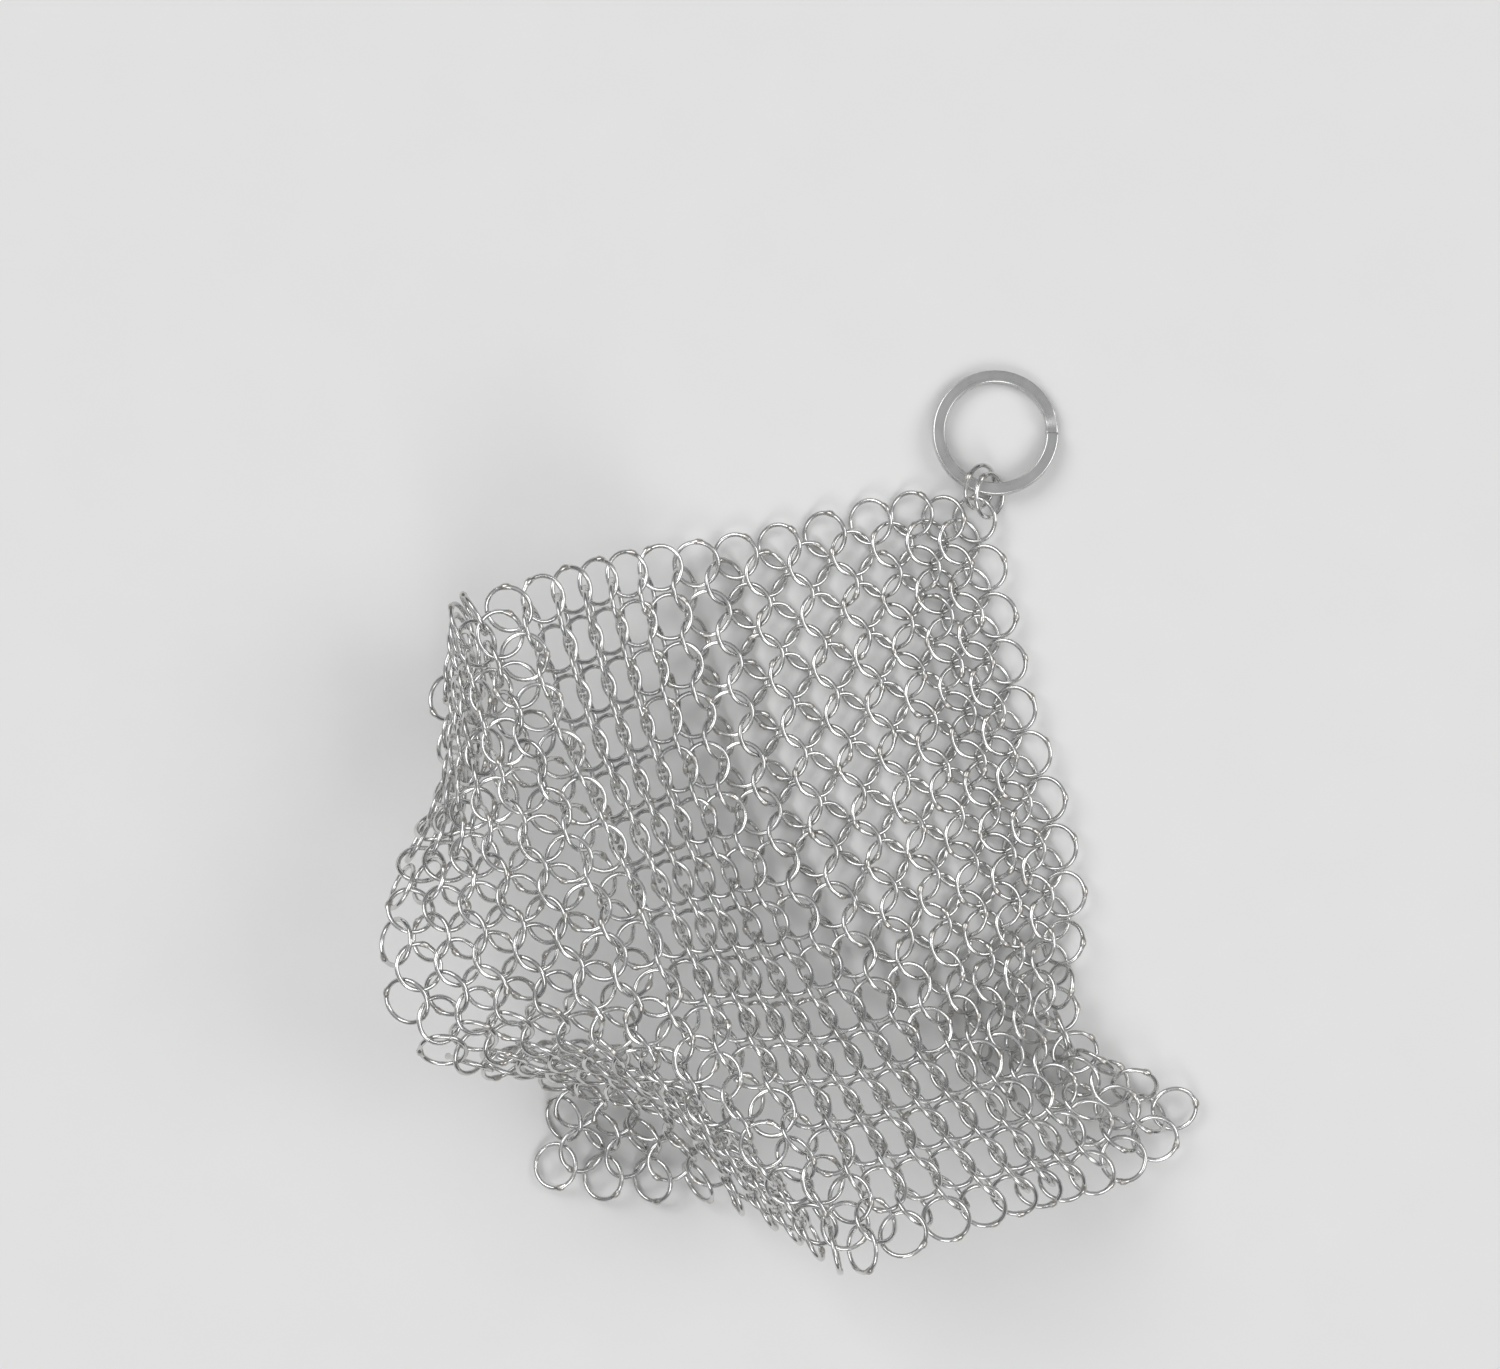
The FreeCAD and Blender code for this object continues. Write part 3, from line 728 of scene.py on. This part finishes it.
@dataclass(frozen=True)
class SplitRing:
    """The flat band, wound in two turns that lie on each other, with a step from one to the other.

    The ramp, the gaps at the cut ends and the stations along the band are angles in degrees.
    """

    node: str = "key_ring"
    mount: str = "hang_ring"
    joint: str = "split_ring_swing"
    outside: float = 25.4 * MM
    band: float = 2.5 * MM
    thick: float = 1.1 * MM
    gap: float = 0.1 * MM
    ramp_start: float = 12.0
    ramp_span: float = 21.0
    end_gap: float = 1.0
    rounding: float = 0.34 * MM
    corner_steps: int = 5
    station: float = 2.5
    end_bevel: float = 0.12 * MM
    finish: BandFinish = field(default_factory=BandFinish)

    # The mask of the rounded edges, which carry a painted highlight and a smoother finish.
    EDGE_MASK = "highlight_and_polish_edge"
    CORNERS = ((1, -1), (1, 1), (-1, 1), (-1, -1))

    @property
    def radius(self) -> float:
        """The radius of the band's middle line."""
        return (self.outside - self.band) / 2

    def profile(self) -> tuple[np.ndarray, np.ndarray]:
        """Work out the band's section about its middle.

        Returns:
            The points across and up, and how far each lies on a rounded edge.
        """
        points = []
        painted_highlight = []
        half_band = self.band / 2 - self.rounding
        half_thick = self.thick / 2 - self.rounding
        for corner, (across, up) in enumerate(self.CORNERS):
            for step in range(self.corner_steps + 1):
                share = step / self.corner_steps
                turn = math.radians(QUARTER_TURN * (corner - 1 + share))
                points.append((across * half_band + self.rounding * math.cos(turn),
                               up * half_thick + self.rounding * math.sin(turn)))
                # How much painted highlight each point gets, most at the middle of its rounded edge.
                painted_highlight.append(math.sin(math.pi * share))
        return np.array(points), np.array(painted_highlight)

    def rise(self, degrees: float) -> float:
        """Give the height of the band's middle, which climbs in a smooth step over the ramp.

        Args:
            degrees: The angle along both turns.

        Returns:
            The height above the middle of the coil.
        """
        level = (self.thick + self.gap) / 2
        share = min(1.0, max(0.0, (degrees - FULL_TURN - self.ramp_start) / self.ramp_span))
        return level * (2 * share * share * (3 - 2 * share) - 1)

    def stations(self) -> list[tuple[float, float]]:
        """Lay the sections out along both turns.

        Returns:
            The angle of each section in degrees, and its size, which is under 1 at the bevelled cut ends.
        """
        begin = self.ramp_start + self.ramp_span + self.end_gap
        end = 2 * FULL_TURN + self.ramp_start - self.end_gap
        bevel = math.degrees(self.end_bevel / self.radius)
        inner = np.linspace(begin + bevel, end - bevel, int((end - begin) / self.station))
        inset = 1 - 2 * self.end_bevel / self.thick
        return [(begin, inset), *((degrees, 1.0) for degrees in inner), (end, inset)]

    def points(self, stations: list[tuple[float, float]], profile: np.ndarray) -> list[Place]:
        """Set the section round the coil.

        Args:
            stations: The angle and the size of each section.
            profile: The section's points.

        Returns:
            The points of every section in turn.
        """
        points = []
        for degrees, size in stations:
            turn = math.radians(degrees)
            width = 1 - (1 - size) * self.thick / self.band
            middle = self.rise(degrees)
            for across, up in profile:
                reach = self.radius + across * width
                points.append((reach * math.cos(turn), reach * math.sin(turn), middle + up * size))
        return points

    @staticmethod
    def faces(sections: int, count: int) -> list[tuple[int, ...]]:
        """Join the sections, and close both cut ends.

        Args:
            sections: How many sections there are.
            count: How many points each section has.

        Returns:
            The faces, as point numbers.
        """
        last = (sections - 1) * count
        faces = [tuple(range(count)), tuple(last + point for point in reversed(range(count)))]
        for here in range(0, last, count):
            ahead = here + count
            for point in range(count):
                beside = (point + 1) % count
                faces.append((here + beside, here + point, ahead + point, ahead + beside))
        return faces

    def place(self) -> Matrix:
        """Find the coil's place from the record's hanging mount and the joint that the ring swings on.

        Returns:
            The coil's own frame, its axle up and X along the joint.
        """
        mount = next(mount for mount in frame["record"]["mounts"] if mount["name"] == self.mount)
        swing = next(joint for joint in frame["joints"] if joint["name"] == self.joint)
        up = Vector(mount["axis"]).normalized()
        right = Vector(swing["axis"]).normalized()
        turn = Matrix((right, up.cross(right), up)).transposed().to_4x4()
        return Matrix.Translation(mount["pos_m"]) @ turn

    def build(self) -> bpy.types.Object:
        """Make the split ring where its node is.

        Returns:
            The piece, riding on its node's body.
        """
        profile, painted_highlight = self.profile()
        stations = self.stations()
        mesh = bpy.data.meshes.new("flat_split_ring")
        mesh.from_pydata(self.points(stations, profile), [], self.faces(len(stations), len(profile)))
        mesh.shade_smooth()
        # The painted highlight on the rounded edges, as a mask on the points.
        mark_points(mesh, self.EDGE_MASK, np.tile(painted_highlight, len(stations)))
        mesh.materials.append(self.finish.build())
        piece = stand_for(self.node, mesh, Slot.BAND_STEEL, self.place())
        even = piece.modifiers.new("flat_faces", "WEIGHTED_NORMAL")
        even.keep_sharp = True
        return piece


@dataclass(frozen=True)
class Softbox:
    """One square soft light."""

    name: str
    place: Place
    side: float
    watts: float

    def build(self, aim: Vector) -> None:
        """Make the light.

        Args:
            aim: The point that it faces.
        """
        lamp = bpy.data.lights.new(self.name, "AREA")
        lamp.shape = "SQUARE"
        lamp.size = self.side
        lamp.energy = self.watts
        light = bpy.data.objects.new(self.name, lamp)
        light.location = self.place
        light.rotation_euler = (aim - Vector(self.place)).to_track_quat("-Z", "Y").to_euler()
        bpy.context.scene.collection.objects.link(light)


@dataclass(frozen=True)
class Studio:
    """The pale floor, the soft lights and the camera that looks straight down.

    The eye and the lens give the photograph's framing and its scale at the floor. The softboxes stand far
    off round the sheet, so the floor is lit evenly and each wire has its bright lines.
    """

    eye: Place = (-0.00954, 0.02475, 0.865)
    lens_mm: float = 102.77
    sensor_mm: float = 36.0
    nearest_seen: float = 0.01
    floor_half: float = 10.0
    floor_drop: float = 0.05 * MM
    zenith: Colour = (0.58, 0.584, 0.588, 1.0)
    horizon: Colour = (0.03, 0.03, 0.031, 1.0)
    lift_power: float = 0.9
    finish: FloorFinish = field(default_factory=FloorFinish)
    aim: Place = (0.0, 0.0, 0.02)
    lights: tuple[Softbox, ...] = (
        Softbox("softbox_key", (-2.0, 1.5, 2.9), 2.25, 50.0),
        Softbox("softbox_right", (2.4, 0.25, 2.5), 1.75, 28.0),
        Softbox("softbox_front", (0.12, -2.4, 2.75), 1.75, 28.0),
    )

    def build(self) -> None:
        """Make the floor, the world, the lights and the camera."""
        self.make_floor()
        self.make_world()
        for light in self.lights:
            light.build(Vector(self.aim))
        self.make_camera()

    def make_floor(self) -> None:
        """Make the floor, one broad level face just under the sheet."""
        half = self.floor_half
        outline = ((-half, -half), (half, -half), (half, half), (-half, half))
        mesh = bpy.data.meshes.new("floor")
        mesh.from_pydata([(x, y, -self.floor_drop) for x, y in outline], [], [(0, 1, 2, 3)])
        mesh.materials.append(self.finish.build())
        floor = bpy.data.objects.new("floor", mesh)
        bpy.context.scene.collection.objects.link(floor)

    def make_world(self) -> None:
        """Make a room that is lighter overhead than at the sides, which draws dark lines on the wire."""
        world = bpy.data.worlds.new("room")
        world.use_nodes = True
        hand = NodeTree(world.node_tree)
        way = hand.add("SeparateXYZ", Vector=hand.add("TexCoord").outputs["Generated"]).outputs
        lift = hand.math("POWER", hand.math("MAXIMUM", way["Z"], 0.0), self.lift_power)
        room = hand.add("Background", Color=hand.mix(lift, self.horizon, self.zenith))
        hand.add("OutputWorld", Surface=room.outputs[0])
        bpy.context.scene.world = world

    def make_camera(self) -> None:
        """Make the camera, above the floor and looking straight down."""
        data = bpy.data.cameras.new("camera")
        data.lens = self.lens_mm
        data.sensor_width = self.sensor_mm
        data.clip_start = self.nearest_seen
        camera = bpy.data.objects.new("camera", data)
        camera.location = self.eye
        bpy.context.scene.collection.objects.link(camera)
        bpy.context.scene.camera = camera


def main() -> None:
    """Build every piece in order and report it, then set up the studio."""
    logging.basicConfig(level=logging.INFO, format="%(name)s: %(message)s")
    bpy.context.scene.view_settings.view_transform = "Standard"
    for piece in (*RingMesh().build(), SplitRing().build()):
        log.info("%s: %d faces in %s", piece.name, len(piece.data.polygons), piece.data.materials[0].name)
    Studio().build()


if __name__ == "__main__":
    main()
